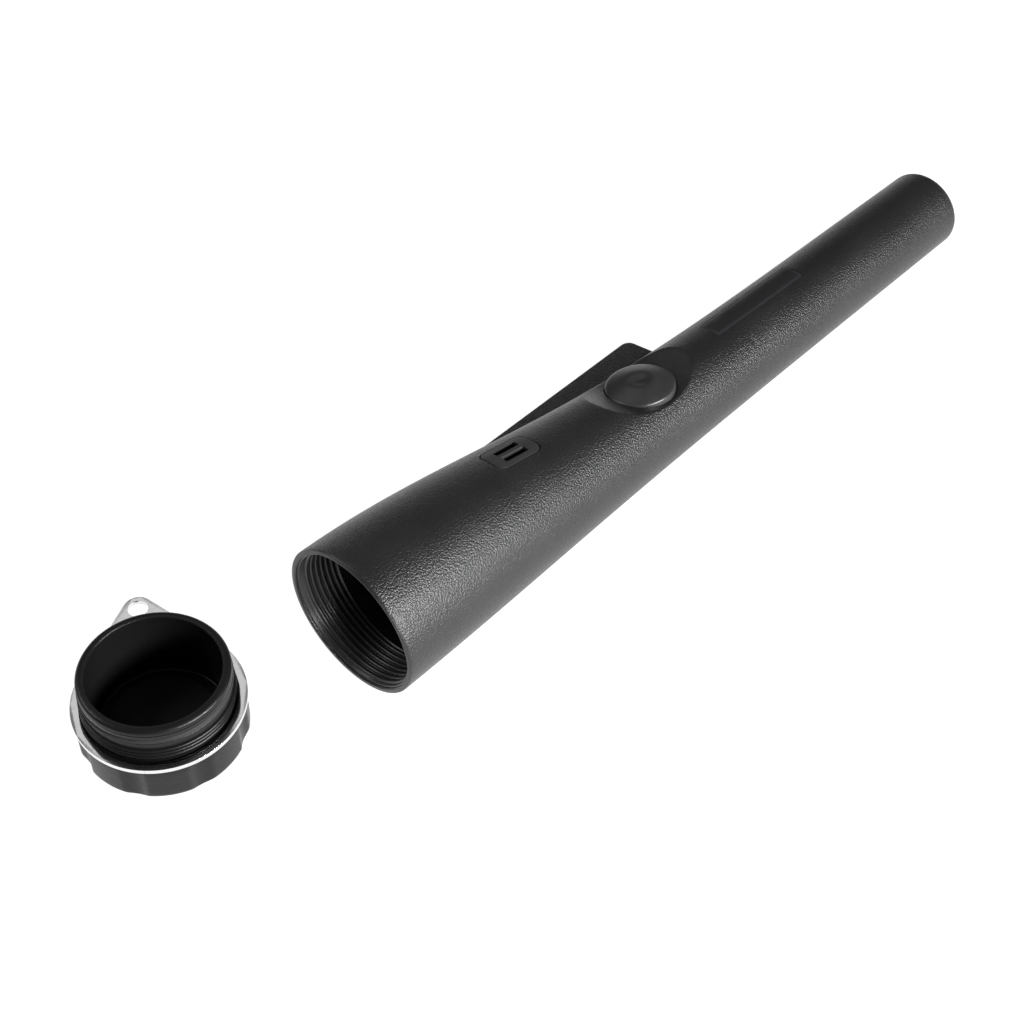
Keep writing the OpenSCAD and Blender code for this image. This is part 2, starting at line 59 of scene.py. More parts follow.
# ---------------------------------------------------------------------------
# Camera, table and lights. The probe and its cap lie on a white table; one long
# soft box stands low beside the body, a weaker one behind it, and a small one high
# up is mirrored by the cap's bright ring.
# ---------------------------------------------------------------------------
table_z = cad_box[0].z
look_turn = radians(43.4)
look_down = radians(46.57)



def in_scene(name, data):
    """An object made from this data and put in the scene."""
    made = bpy.data.objects.new(name, data)
    bpy.context.scene.collection.objects.link(made)
    return made


camera_data = bpy.data.cameras.new("camera")
camera_data.sensor_width = 36
camera_data.lens = 66.3
camera_data.clip_start = 0.01
camera = in_scene("camera", camera_data)
camera.location = (-0.1712, -0.2100, 0.3224)
look = Vector((cos(look_down) * cos(look_turn), cos(look_down) * sin(look_turn), -sin(look_down)))
camera.rotation_euler = look.to_track_quat("-Z", "Y").to_euler()
bpy.context.scene.camera = camera


def soft_box(name, place, aim, width, height, watts):
    """A rectangular lamp at a place, turned to an aim."""
    light = bpy.data.lights.new(name, "AREA")
    light.shape = "RECTANGLE"
    light.size = width
    light.size_y = height
    light.energy = watts
    lamp = in_scene(name, light)
    lamp.location = place
    lamp.rotation_euler = (Vector(aim) - Vector(place)).to_track_quat("-Z", "Y").to_euler()


soft_box("side_box", (0.08, -0.50, 0.22), (0, 0, 0), 0.42, 0.10, 8.8)
soft_box("rear_box", (-0.30, 0.45, 0.40), (0, 0, 0), 0.30, 0.30, 1.2)
soft_box("ring_box", (0.14, 0.33, 0.40), (-0.04, 0.02, 0), 0.24, 0.24, 0.11)

world = bpy.data.worlds.new("studio")
world.use_nodes = True
backdrop = world.node_tree.nodes["Background"]
backdrop.inputs["Color"].default_value = (1, 1, 1, 1)
backdrop.inputs["Strength"].default_value = 0.10
bpy.context.scene.world = world
bpy.context.scene.view_settings.view_transform = "Standard"

table_material = bpy.data.materials.new("white_table")
table_material.use_nodes = True
table_shader = table_material.node_tree.nodes["Principled BSDF"]
table_shader.inputs["Base Color"].default_value = (0.16, 0.16, 0.16, 1)
table_shader.inputs["Roughness"].default_value = 0.9
table_shader.inputs["Emission Color"].default_value = (1, 1, 1, 1)
table_shader.inputs["Emission Strength"].default_value = 0.97


def rectangle(length, width):
    """The corners of a rectangle about its middle."""
    x, y = length / 2, width / 2
    return [(-x, -y), (x, -y), (x, y), (-x, y)]


table_side = 12
table_mesh = bpy.data.meshes.new("table")
table_corners = [(x, y, table_z) for x, y in rectangle(table_side, table_side)]
table_mesh.from_pydata(table_corners, [], [(0, 1, 2, 3)])
table_mesh.materials.append(table_material)
table = in_scene("table", table_mesh)

# ---------------------------------------------------------------------------
# Moulded body. One injection moulding in charcoal ABS with a spark-eroded grain:
# a tube that tapers along its top only, with a scraper blade on its side, a
# finger dish for the button, and seats for the grille and the label.
# ---------------------------------------------------------------------------
MM = 0.001
body_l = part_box("housing")[1].x / MM
mouth_r = -table_z / MM
nose_r = 11.2
front_taper = 0.0085
flare_l = 75.5
wall = 1.6
nose_round = 1.6
rim_round = 0.35
lay_roll = 10.5
button_x = sum(c.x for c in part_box("power_button")) / 2 / MM
dish_r = 31.5
dish_x = button_x + 2.2
bore_r = 9.3
laid = Matrix.Rotation(radians(-lay_roll), 4, "X") @ Matrix.Scale(MM, 4)
flare = mouth_r - nose_r - front_taper * body_l


def body_r(x):
    """Radius of the tube at x; its underside is straight, so this also lifts its centre."""
    return nose_r + front_taper * (body_l - x) + flare * exp(-(x / flare_l) ** 2)


def axis_z(x):
    """Height of the tube's centre at x."""
    return body_r(x) - mouth_r


dish_z = axis_z(button_x) + sqrt(body_r(button_x) ** 2 - (bore_r + 0.6) ** 2)


def softer_min(a, b, blend):
    """The smaller of a and b, with the corner between them rounded over."""
    if blend <= 0 or abs(a - b) >= blend:
        return min(a, b)
    step = 1 - abs(a - b) / blend
    return min(a, b) - step * step * blend / 4


def skin_r(x, turn, inset=0, blend=0.4):
    """Distance from the tube's centre to its skin, turned from the top; the dish is cut in."""
    tube = body_r(x) - inset
    along = x - dish_x
    scoop_r = dish_r + inset
    if cos(turn) < 0.2 or abs(along) > scoop_r:
        return tube
    floor = dish_z + dish_r - sqrt(scoop_r ** 2 - along ** 2)
    return softer_min(tube, (floor - axis_z(x)) / cos(turn), blend)


def arc(cx, cy, r, start, end, steps):
    """Points of an arc from one angle to another, in degrees."""
    turns = [radians(start + (end - start) * k / steps) for k in range(steps + 1)]
    return [(cx + r * cos(t), cy + r * sin(t)) for t in turns]


def spaced(stops):
    """Numbers from each [stop, step] to the next stop."""
    out = []
    for (start, step), (end, _) in zip(stops, stops[1:]):
        count = ceil((end - start) / step)
        out += [start + (end - start) * k / count for k in range(count)]
    return out + [stops[-1][0]]


def lofted(name, rings):
    """A closed mesh through rings of points; a ring of one point is a pole."""
    form = bmesh.new()
    rows = [[form.verts.new(p) for p in ring] for ring in rings]
    for low, high in zip(rows, rows[1:]):
        count = max(len(low), len(high))
        for i in range(count):
            j = (i + 1) % count
            if len(low) == 1:
                form.faces.new((low[0], high[j], high[i]))
            elif len(high) == 1:
                form.faces.new((low[i], low[j], high[0]))
            else:
                form.faces.new((low[i], low[j], high[j], high[i]))
    if len(rows[0]) > 1 and len(rows[-1]) > 1:
        form.faces.new(rows[0])
        form.faces.new(rows[-1])
    bmesh.ops.recalc_face_normals(form, faces=form.faces)
    return as_object(name, form)


def as_object(name, form):
    """A worked form as an object; the form is used up."""
    mesh = bpy.data.meshes.new(name)
    form.to_mesh(mesh)
    form.free()
    return in_scene(name, mesh)


def applied(piece):
    """The piece with its modifiers made part of its mesh."""
    graph = bpy.context.evaluated_depsgraph_get()
    mesh = bpy.data.meshes.new_from_object(piece.evaluated_get(graph))
    piece.modifiers.clear()
    piece.data = mesh
    return piece


def joined_with(piece, other, operation="DIFFERENCE"):
    """Cuts away another closed form, or adds it or keeps what they share; it is used up."""
    change = piece.modifiers.new("change", "BOOLEAN")
    change.operation = operation
    change.solver = "MANIFOLD"
    change.object = other
    applied(piece)
    bpy.data.objects.remove(other)
    return piece


def finished(piece, name, material, body, nodes, place=None, sharp=35):
    """Puts a piece in its place in metres, with its material, its body and what it replaces."""
    piece.name = name
    piece.data.name = name
    if place is not None:
        piece.data.transform(place)
    piece.data.materials.clear()
    piece.data.materials.append(material)
    piece.data.shade_smooth()
    piece.data.set_sharp_from_angle(angle=radians(sharp))
    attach(piece, body)
    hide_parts(*nodes)
    return piece


def tube_rings(stations, turns, inset=0):
    """Rings of the tube's skin in its own straight lie."""
    return [[(x, skin_r(x, t, inset) * sin(t), axis_z(x) + skin_r(x, t, inset) * cos(t))
             for t in turns] for x in stations]


def plain_ring(x, r, centre, turns):
    """A round ring about the body's length, with its centre at a height."""
    return [(x, r * sin(t), centre + r * cos(t)) for t in turns]


def slab(name, outline, low, high, round_edges=0):
    """A flat plate from an outline, between two heights, with its edges rounded over."""
    form = bmesh.new()
    low_verts = [form.verts.new((x, y, low)) for x, y in outline]
    high_verts = [form.verts.new((x, y, high)) for x, y in outline]
    form.faces.new(low_verts)
    form.faces.new(high_verts)
    for i in range(len(outline)):
        j = (i + 1) % len(outline)
        form.faces.new((low_verts[i], low_verts[j], high_verts[j], high_verts[i]))
    bmesh.ops.recalc_face_normals(form, faces=form.faces)
    if round_edges:
        edges = [e for e in form.edges if e.calc_face_angle(0) > radians(30)]
        edges += [e for e in form.edges if len({v.co.z for v in e.verts}) == 1 and e not in edges]
        bmesh.ops.bevel(form, geom=edges, offset=round_edges, segments=3, profile=0.5,
                        affect="EDGES")
    return as_object(name, form)


def rounded_outline(cx, cy, length, width, r, steps=8):
    """Outline of a rectangle with round corners."""
    x, y = length / 2 - r, width / 2 - r
    out = []
    for sx, sy, start in ((1, 1, 0), (-1, 1, 90), (-1, -1, 180), (1, -1, 270)):
        out += arc(cx + sx * x, cy + sy * y, r, start, start + 90, steps)
    return out


def unique(outline):
    """Leaves out points that fall on the one before, where an arc meets an arc."""
    out = []
    for p in outline:
        if not out or hypot(p[0] - out[-1][0], p[1] - out[-1][1]) > 1e-4:
            out.append(p)
    if hypot(out[0][0] - out[-1][0], out[0][1] - out[-1][1]) < 1e-4:
        out.pop()
    return out


top_fine = 64
top_turns = [radians(a) for a in spaced(((-top_fine, 1), (top_fine, 4), (360 - top_fine, 1)))[:-1]]
body_stations = spaced(((rim_round, 2), (48, 0.75), (66, 2), (82, 0.4), (124, 1), (168, 2.5),
                        (body_l - nose_round, 1)))
body_rings = [[(0, 0, 0)], plain_ring(0, mouth_r - rim_round, 0, top_turns),
              plain_ring(0.1, mouth_r - 0.12, 0, top_turns)]
body_rings += tube_rings(body_stations, top_turns)
for x, r in arc(body_l - nose_round, nose_r - nose_round, nose_round, 90, 0, 6)[1:]:
    body_rings.append(plain_ring(x, r, axis_z(body_l), top_turns))
body_rings.append([(body_l, 0, axis_z(body_l))])
shell = lofted("shell", body_rings)

blade_front = 121.3
blade_l = 82
blade_back = blade_front - blade_l
blade_slope = 20
blade_out = mouth_r + 3.3
blade_t = 3
blade_corner = 2.5
blade_z = axis_z((blade_front + blade_back) / 2) + 1
blade_outline = [(blade_back, 0), (blade_back, body_r(blade_back) - wall),
                 (blade_back + blade_slope, blade_out)]
blade_outline += arc(blade_front - blade_corner, blade_out - blade_corner, blade_corner, 90, 0, 8)
blade_outline += [(blade_front, 0)]
blade = slab("blade", blade_outline, blade_z - blade_t / 2, blade_z + blade_t / 2, 0.45)
joined_with(shell, blade, "UNION")

collar_r = 18.2
collar_end = 12
lead_in = 0.25
nose_wall = 2
hollow_turns = [radians(a) for a in spaced(((0, 2.5), (360, 1)))[:-1]]
hollow_rings = [[(-1, 0, 0)]]
hollow_rings += [plain_ring(x, r, 0, hollow_turns)
                 for x, r in ((-1, collar_r + lead_in), (0, collar_r + lead_in),
                              (lead_in, collar_r), (collar_end, collar_r))]
hollow_stations = spaced(((collar_end + 0.01, 4), (82, 1.5), (124, 6), (body_l - nose_wall, 1)))
hollow_rings += tube_rings(hollow_stations, hollow_turns, wall)
hollow_rings.append([(body_l - nose_wall, 0, axis_z(body_l))])
joined_with(shell, lofted("hollow", hollow_rings))

bore_outline = arc(button_x, 0, bore_r, 0, 360, 96)[:-1]
joined_with(shell, slab("bore", bore_outline, dish_z - 3 * wall, dish_z + 6 * wall))

grille_x = sum(c.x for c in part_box("speaker_grille")) / 2 / MM
grille_l = 14
grille_w = 8.6
grille_round = 2.2
seam = 0.14
grille_top = axis_z(grille_x) + body_r(grille_x)
grille_hole = unique(rounded_outline(grille_x, 0, grille_l + 2 * seam, grille_w + 2 * seam,
                                     grille_round + seam))
joined_with(shell, slab("grille_hole", grille_hole, grille_top - 3 * wall, grille_top + 3 * wall))

label_low, label_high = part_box("label_plate")
label_x = (label_low.x + label_high.x) / 2 / MM
label_l = (label_high.x - label_low.x) / MM
label_w = 6.8
label_t = 0.4
label_round = 0.8
label_seam = 0.08


def skin_plate(name, outline, centre_x, x_half, y_half, low_inset, high_inset):
    """A curved plate that follows the tube's skin between two depths, cut to an outline."""
    x0, x1 = centre_x - x_half, centre_x + x_half
    xs = [x0 + (x1 - x0) * k / 24 for k in range(25)]
    ys = [-y_half + 2 * y_half * k / 32 for k in range(33)]
    form = bmesh.new()
    layers = []
    for inset in (high_inset, low_inset):
        layers.append([[form.verts.new((x, y, axis_z(x) + sqrt((body_r(x) - inset) ** 2 - y * y)))
                        for y in ys] for x in xs])
    for layer in layers:
        for a, b in zip(layer, layer[1:]):
            for i in range(len(ys) - 1):
                form.faces.new((a[i], a[i + 1], b[i + 1], b[i]))
    upper, lower = layers
    rims = [(upper[0], lower[0]), (upper[-1], lower[-1]),
            ([row[0] for row in upper], [row[0] for row in lower]),
            ([row[-1] for row in upper], [row[-1] for row in lower])]
    for high, low in rims:
        for i in range(len(high) - 1):
            form.faces.new((high[i], high[i + 1], low[i + 1], low[i]))
    bmesh.ops.recalc_face_normals(form, faces=form.faces)
    plate = as_object(name, form)
    height = axis_z(x0) + body_r(x0)
    cutter = slab("cutter", outline, height - 4 * wall, height + 4 * wall)
    return joined_with(plate, cutter, "INTERSECT")


label_hole = unique(rounded_outline(label_x, 0, label_l + 2 * label_seam, label_w + 2 * label_seam,
                                    label_round + label_seam, 4))
joined_with(shell, skin_plate("label_hole", label_hole, label_x, label_l / 2 + 1, label_w / 2 + 1,
                              label_t, -1))


class Signal:
    """What a shader socket gives: a number, a colour or a direction over the surface."""

    def __init__(self, socket):
        self.socket = socket

    def node(self, kind, settings, inputs, output=0):
        """A new node of this kind: its settings first, then its sockets' values or links."""
        tree = self.socket.id_data
        made = tree.nodes.new(kind)
        for name, value in settings.items():
            if name == "stops":
                for point, (at, colour) in zip(made.color_ramp.elements, value):
                    point.position = at
                    point.color = colour
            else:
                setattr(made, name, value)
        for name, value in inputs.items():
            if isinstance(value, Signal):
                tree.links.new(value.socket, made.inputs[name])
            else:
                made.inputs[name].default_value = value
        return Signal(made.outputs[output])

    def math(self, operation, other=0.0):
        return self.node("ShaderNodeMath", {"operation": operation}, {0: self, 1: other})

    def __add__(self, other):
        return self.math("ADD", other)

    def __sub__(self, other):
        return self.math("SUBTRACT", other)

    def __mul__(self, other):
        return self.math("MULTIPLY", other)

    def __rsub__(self, other):
        return self.node("ShaderNodeMath", {"operation": "SUBTRACT"}, {0: other, 1: self})

    __radd__ = __add__
    __rmul__ = __mul__

    def band(self, low, high, start=0.0, end=1.0):
        """This number carried from one range to another, and held at its ends."""
        return self.node("ShaderNodeMapRange", {}, {"Value": self, "From Min": low,
                                                    "From Max": high, "To Min": start,
                                                    "To Max": end})

    def spread(self, start=0.0, end=1.0):
        """The middle of a noise's range carried to these two values."""
        return self.band(0.3, 0.7, start, end)

    def noise(self, scale, detail=3.0, roughness=0.55):
        return self.node("ShaderNodeTexNoise", {}, {"Vector": self, "Scale": scale,
                                                    "Detail": detail, "Roughness": roughness})

    def cells(self, scale):
        return self.node("ShaderNodeTexVoronoi", {"feature": "SMOOTH_F1"},
                         {"Vector": self, "Scale": scale, "Smoothness": 0.6})

    def tint(self, first, second):
        """A colour between two, by this number."""
        mixed = self.node("ShaderNodeMix", {"data_type": "RGBA"}, {0: self}, 2)
        mix_node = mixed.socket.node
        for spot, colour in ((6, first), (7, second)):
            if isinstance(colour, Signal):
                mix_node.id_data.links.new(colour.socket, mix_node.inputs[spot])
            else:
                mix_node.inputs[spot].default_value = (*colour, 1)
        return mixed

    def bump(self, depth):
        """A surface direction from this height, in metres."""
        return self.node("ShaderNodeBump", {}, {"Height": self, "Distance": depth, "Strength": 1.0})

    def turned(self, rotation=(0, 0, 0), location=(0, 0, 0), scale=(1, 1, 1)):
        return self.node("ShaderNodeMapping", {}, {"Vector": self, "Rotation": rotation,
                                                   "Location": location, "Scale": scale})

    def straight(self, scale=(1, 1, 1)):
        """This place in the body's own straight lie."""
        return self.turned((radians(lay_roll), 0, 0), scale=scale)

    def part(self, axis):
        """This place's number along X, Y or Z."""
        return self.node("ShaderNodeSeparateXYZ", {}, {"Vector": self}, "XYZ".index(axis))


def new_finish(name, **even):
    """A material with its even values set, and the place on the piece as a signal."""
    material = bpy.data.materials.new(name)
    material.use_nodes = True
    shader = material.node_tree.nodes["Principled BSDF"]
    for socket, value in even.items():
        shader.inputs[socket.replace("_", " ")].default_value = value
    place = material.node_tree.nodes.new("ShaderNodeTexCoord").outputs["Object"]
    return material, shader, Signal(place)


def feed(shader, **signals):
    """Links what varies over the surface to the shader's sockets."""
    for socket, signal in signals.items():
        shader.id_data.links.new(signal.socket, shader.inputs[socket.replace("_", " ")])


def charcoal_grain():
    """Spark-eroded charcoal plastic: a leathery grain, left smooth in the finger dish."""
    material, shader, place = new_finish("charcoal_grain", Specular_IOR_Level=0.5)
    straight = place.straight()
    along = straight.part("X") - dish_x * MM
    above = straight.part("Z") - (dish_z + dish_r) * MM
    from_dish = (along * along + above * above).math("SQRT")
    in_front = straight.part("X").band(0.0002, 0.0006)
    outside = from_dish.band((dish_r - 0.2) * MM, (dish_r + 0.25) * MM)
    pebbles = place.cells(2300)
    fine = place.noise(4600, 4)
    height = pebbles * 0.8 + fine * 0.5
    rubbed = place.noise(60, 3).band(0.4, 0.7)
    feed(shader,
         Base_Color=rubbed.tint((0.0085, 0.0085, 0.009), (0.0115, 0.0115, 0.012)),
         Roughness=pebbles.band(0.1, 0.7, 0.27, 0.40) + rubbed * 0.04,
         Normal=(height * (outside * 0.92 + 0.08) * (in_front * 0.8 + 0.2)).bump(0.00017))
    return material


finished(shell, "body_moulding", charcoal_grain(), "body", ["housing"],
         laid, 32)

# ---------------------------------------------------------------------------
# Speaker grille. A small curved plate in smooth black ABS, welded into its seat,
# with two sound slots and a woven dust mesh glued behind them.
# ---------------------------------------------------------------------------
slot_l = 7.3
slot_w = 2.1
slot_round = 0.4
slot_pitch = 3.2
grille_outline = unique(rounded_outline(grille_x, 0, grille_l - 2 * seam, grille_w - 2 * seam,
                                        grille_round))
grille = skin_plate("grille", grille_outline, grille_x, grille_l / 2 + 0.5, grille_w / 2 + 0.4,
                    wall - 0.05, 0)
for side in (-1, 1):
    slot_outline = unique(rounded_outline(grille_x, side * slot_pitch / 2, slot_l, slot_w,
                                          slot_round))
    joined_with(grille, slab("slot", slot_outline, grille_top - 3 * wall, grille_top + 3 * wall))


def eased(piece, width, segments=3, angle=40):
    """Rounds over a piece's sharp edges, as a mould leaves them."""
    bevel = piece.modifiers.new("ease", "BEVEL")
    bevel.width = width
    bevel.segments = segments
    bevel.limit_method = "ANGLE"
    bevel.angle_limit = radians(angle)
    return applied(piece)


def satin_black(name, shade=0.02, roughness=0.38, fine=3200, depth=0.00002):
    """Smooth moulded black plastic with a faint mould texture and handling marks."""
    material, shader, place = new_finish(name, Specular_IOR_Level=0.5)
    grain = place.noise(fine, 3)
    marks = place.turned((0.3, 0.2, 0.7), scale=(1, 1, 4)).noise(240, 5, 0.7)
    handled = marks.band(0.55, 0.8, 0, 0.07)
    feed(shader,
         Base_Color=marks.band(0.35, 0.75).tint((shade,) * 3, (shade * 1.35,) * 3),
         Roughness=grain.spread(roughness - 0.05, roughness + 0.06) + handled,
         Normal=grain.bump(depth))
    return material


eased(grille, 0.16)
finished(grille, "grille_plate", satin_black("grille_satin", 0.022, 0.42), "body",
         ["speaker_grille"], laid, 30)


def woven_mesh():
    """Fine black monofilament cloth, seen through the slots."""
    material, shader, place = new_finish("woven_mesh", Roughness=0.8)
    straight = place.straight()
    threads = [(straight.part(axis) * 9000).math("SINE") for axis in "XY"]
    weave = threads[0] * threads[1]
    feed(shader, Base_Color=weave.band(-0.5, 1).tint((0.004, 0.004, 0.004), (0.02, 0.02, 0.02)),
         Normal=weave.bump(0.00003))
    return material


def refinish(node, material):
    """Gives a CAD node its finish; its shape is right as it is."""
    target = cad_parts[node]
    if not target.material_slots:
        target.data.materials.append(material)
    for material_slot in target.material_slots:
        material_slot.link = "OBJECT"
        material_slot.material = material


refinish("grille_mesh", woven_mesh())

# ---------------------------------------------------------------------------
# Label. A blank self-adhesive polyester film, pressed into a shallow seat along
# the top of the slim front part.
# ---------------------------------------------------------------------------
label_outline = unique(rounded_outline(label_x, 0, label_l, label_w, label_round, 4))
label = skin_plate("label", label_outline, label_x, label_l / 2 + 1, label_w / 2 + 1,
                   label_t - 0.01, 0.05)


def label_film():
    """Satin black film with a faint printed border line."""
    material, shader, place = new_finish("label_film", Specular_IOR_Level=0.5)
    straight = place.straight()
    across = straight.part("Y").math("ABSOLUTE")
    along = (straight.part("X") - label_x * MM).math("ABSOLUTE")
    sides = across.band((label_w / 2 - 0.9) * MM, (label_w / 2 - 0.75) * MM)
    ends = along.band((label_l / 2 - 0.9) * MM, (label_l / 2 - 0.75) * MM)
    border = sides.math("MAXIMUM", ends)
    waves = place.noise(180, 2)
    feed(shader, Base_Color=border.tint((0.013, 0.013, 0.014), (0.022, 0.022, 0.024)),
         Roughness=waves.spread(0.26, 0.34), Normal=waves.bump(0.00003))
    return material


eased(label, 0.1, 2)
finished(label, "label_film", label_film(), "body", ["label_plate"], laid, 30)

# ---------------------------------------------------------------------------
# Push button. A domed cap in satin black ABS with a small dimple for the thumb;
# its skirt slides in the bore and its stem stands on the switch.
# ---------------------------------------------------------------------------
button_r = 9.0
button_rim = dish_z + 2.1
button_dome = 1.3
button_edge = 1.2
button_foot = dish_z - wall - 1.05
dimple_r = 3.3
dimple_depth = 0.5
skirt_t = 1.3
shoulder_r = 0.75
stem_r = 1.9
stem_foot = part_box("switch_body")[1].z / MM + 1.2


def turned_form(name, profile, segments, reshape=lambda r, z, turn: r):
    """A profile of [radius, height] points turned round Z; reshape may change a point's radius."""
    turns = [2 * pi * k / segments for k in range(segments)]
    rings = []
    for r, z in profile:
        if r <= 0:
            rings.append([(0, 0, z)])
        else:
            reach = [reshape(r, z, t) for t in turns]
            rings.append([(out * cos(t), out * sin(t), z) for out, t in zip(reach, turns)])
    return lofted(name, rings)


button_crown = button_rim + button_dome
button_profile = [(0, button_crown - dimple_depth)]
button_profile += [(dimple_r * k / 10, button_crown - dimple_depth * (1 + cos(pi * k / 10)) / 2)
                   for k in range(1, 11)]
button_top_r = button_r - button_edge + 0.45
for k in range(1, 9):
    drop = k / 8
    button_profile.append((dimple_r + (button_top_r - dimple_r) * drop,
                           button_crown - (button_dome + 0.02) * drop ** 1.25))
button_profile += arc(button_r - shoulder_r, button_rim - 0.86, shoulder_r, 60, 0, 5)
button_profile += [(button_r, button_foot), (button_r - skirt_t, button_foot),
                   (button_r - skirt_t, button_rim - skirt_t), (stem_r, button_rim - skirt_t),
                   (stem_r, stem_foot), (0, stem_foot)]
button = turned_form("button", button_profile, 128)
finished(button, "push_button", satin_black("button_satin", 0.021, 0.33, 2600, 0.000012), "button",
         ["power_button"], laid @ Matrix.Translation((button_x, 0, 0)), 40)


def rubber(name, shade):
    """Matt black rubber with a dusty bloom."""
    material, shader, place = new_finish(name, Specular_IOR_Level=0.35)
    bloom = place.noise(400, 4)
    feed(shader, Base_Color=bloom.band(0.35, 0.7).tint((shade,) * 3, (shade * 1.6,) * 3),
         Roughness=bloom.spread(0.62, 0.75), Normal=place.noise(2400, 2).bump(0.00002))
    return material


seal_rubber = rubber("seal_rubber", 0.012)
refinish("button_seal", seal_rubber)
refinish("cap_o_ring", seal_rubber)

# ---------------------------------------------------------------------------
# Threaded collar. A separate black insert, glued inside the rim, whose inner
# face carries the right-hand thread for the cap.
# ---------------------------------------------------------------------------
collar_low, collar_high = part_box("threaded_collar")
collar_l = (collar_high.x - collar_low.x) / MM
thread_r = 17.2
thread_h = 0.55
thread_pitch = 1.5
collar_root = thread_r + thread_h
collar_out = collar_r - 0.04
along_body = Matrix(((0, 0, 1, 0), (1, 0, 0, 0), (0, 1, 0, 0), (0, 0, 0, 1)))


def tree_socket(tree, name, kind, way="INPUT"):
    """A named input or output of a Geometry Nodes tree."""
    return tree.interface.new_socket(name=name, in_out=way, socket_type="NodeSocket" + kind)


def helix_tree():
    """A ridge or a wire wound along Z: a spiral curve that carries a small section."""
    tree = bpy.data.node_groups.new("wound_helix", "GeometryNodeTree")
    tree_socket(tree, "Geometry", "Geometry", "OUTPUT")
    for name in ("Radius", "Height", "Turns", "Section Width", "Section Depth", "Start Height"):
        tree_socket(tree, name, "Float")
    for name in ("Steps", "Section Sides"):
        tree_socket(tree, name, "Int")
    tree_socket(tree, "Material", "Material")
    nodes = tree.nodes
    given = nodes.new("NodeGroupInput").outputs
    out = nodes.new("NodeGroupOutput")

    def put(kind, links=(), **settings):
        made = nodes.new(kind)
        for name, value in settings.items():
            setattr(made, name, value)
        for spot, source in links:
            if hasattr(source, "is_output"):
                tree.links.new(source, made.inputs[spot])
            else:
                made.inputs[spot].default_value = source
        return made

    def number(operation, first, second):
        return put("ShaderNodeMath", ((0, first), (1, second)), operation=operation).outputs[0]

    spiral = put("GeometryNodeCurveSpiral", (
        ("Resolution", given["Steps"]), ("Rotations", given["Turns"]), ("Height", given["Height"]),
        ("Start Radius", given["Radius"]), ("End Radius", given["Radius"])))
    lift = put("ShaderNodeCombineXYZ", (("Z", given["Start Height"]),))
    lifted = put("GeometryNodeTransform", (("Geometry", spiral.outputs["Curve"]),
                                           ("Translation", lift.outputs[0])))
    upright = put("GeometryNodeSetCurveNormal", ((0, lifted.outputs[0]),), mode="Z_UP")
    along_wire = put("GeometryNodeSplineParameter").outputs["Factor"]
    near_end = number("MINIMUM", along_wire, number("SUBTRACT", 1.0, along_wire))
    fade = number("MULTIPLY", number("MULTIPLY", near_end, given["Turns"]), 5.0)
    thickness = number("MAXIMUM", number("MINIMUM", fade, 1.0), 0.02)
    ring = put("GeometryNodeCurvePrimitiveCircle", (("Resolution", given["Section Sides"]),
                                                    ("Radius", 0.5)))
    section = put("ShaderNodeCombineXYZ", (("X", given["Section Depth"]),
                                           ("Y", given["Section Width"]), ("Z", 1.0)))
    oval = put("GeometryNodeTransform", ((0, ring.outputs["Curve"]), ("Scale", section.outputs[0])))
    swept = put("GeometryNodeCurveToMesh", (
        ("Curve", upright.outputs[0]), ("Profile Curve", oval.outputs[0]),
        ("Scale", thickness), ("Fill Caps", True)))
    real = put("GeometryNodeRealizeInstances", ((0, swept.outputs[0]),))
    coated = put("GeometryNodeSetMaterial", ((0, real.outputs[0]), ("Material", given["Material"])))
    tree.links.new(coated.outputs[0], out.inputs[0])
    return tree


wound_helix = helix_tree()


def grown(name, tree, mesh=None, **given):
    """The mesh that a Geometry Nodes tree makes from what it is given."""
    holder = in_scene(name, mesh or bpy.data.meshes.new(name))
    grow = holder.modifiers.new("grow", "NODES")
    grow.node_group = tree
    for item in tree.interface.items_tree:
        key = item.name.replace(" ", "_")
        if item.in_out == "INPUT" and key in given:
            grow[item.identifier] = given[key]
    holder.update_tag()
    return applied(holder)


def merged(first, second):
    """Two meshes as one piece."""
    form = bmesh.new()
    form.from_mesh(first.data)
    form.from_mesh(second.data)
    form.to_mesh(first.data)
    form.free()
    bpy.data.objects.remove(second)
    return first


thread_black = satin_black("thread_black", 0.017, 0.34)
collar_profile = [(collar_root, 0.12), (collar_root + 0.12, 0), (collar_out, 0),
                  (collar_out, collar_l), (thread_r + 0.2, collar_l),
                  (thread_r + 0.1, collar_l - 0.1), (collar_root, collar_l - 0.5)]


def ring_form(name, profile, segments=160):
    """A closed section turned round Z into a ring."""
    turns = [2 * pi * k / segments for k in range(segments)]
    form = bmesh.new()
    rows = [[form.verts.new((r * cos(t), r * sin(t), z)) for t in turns] for r, z in profile]
    for low, high in zip(rows, rows[1:] + rows[:1]):
        for i in range(segments):
            j = (i + 1) % segments
            form.faces.new((low[i], low[j], high[j], high[i]))
    bmesh.ops.recalc_face_normals(form, faces=form.faces)
    return as_object(name, form)


collar = ring_form("collar", collar_profile)
collar_turns = 6.6
merged(collar, grown("collar_thread", wound_helix, Material=thread_black,
                     Radius=collar_root + 0.02, Height=collar_turns * thread_pitch,
                     Turns=collar_turns, Start_Height=1.0,
                     Section_Width=0.84 * thread_pitch, Section_Depth=2 * (thread_h + 0.02),
                     Steps=120, Section_Sides=12))
finished(collar, "threaded_insert", thread_black, "body", ["threaded_collar"],
         laid @ Matrix.Translation((collar_low.x / MM, 0, 0)) @ along_body, 50)

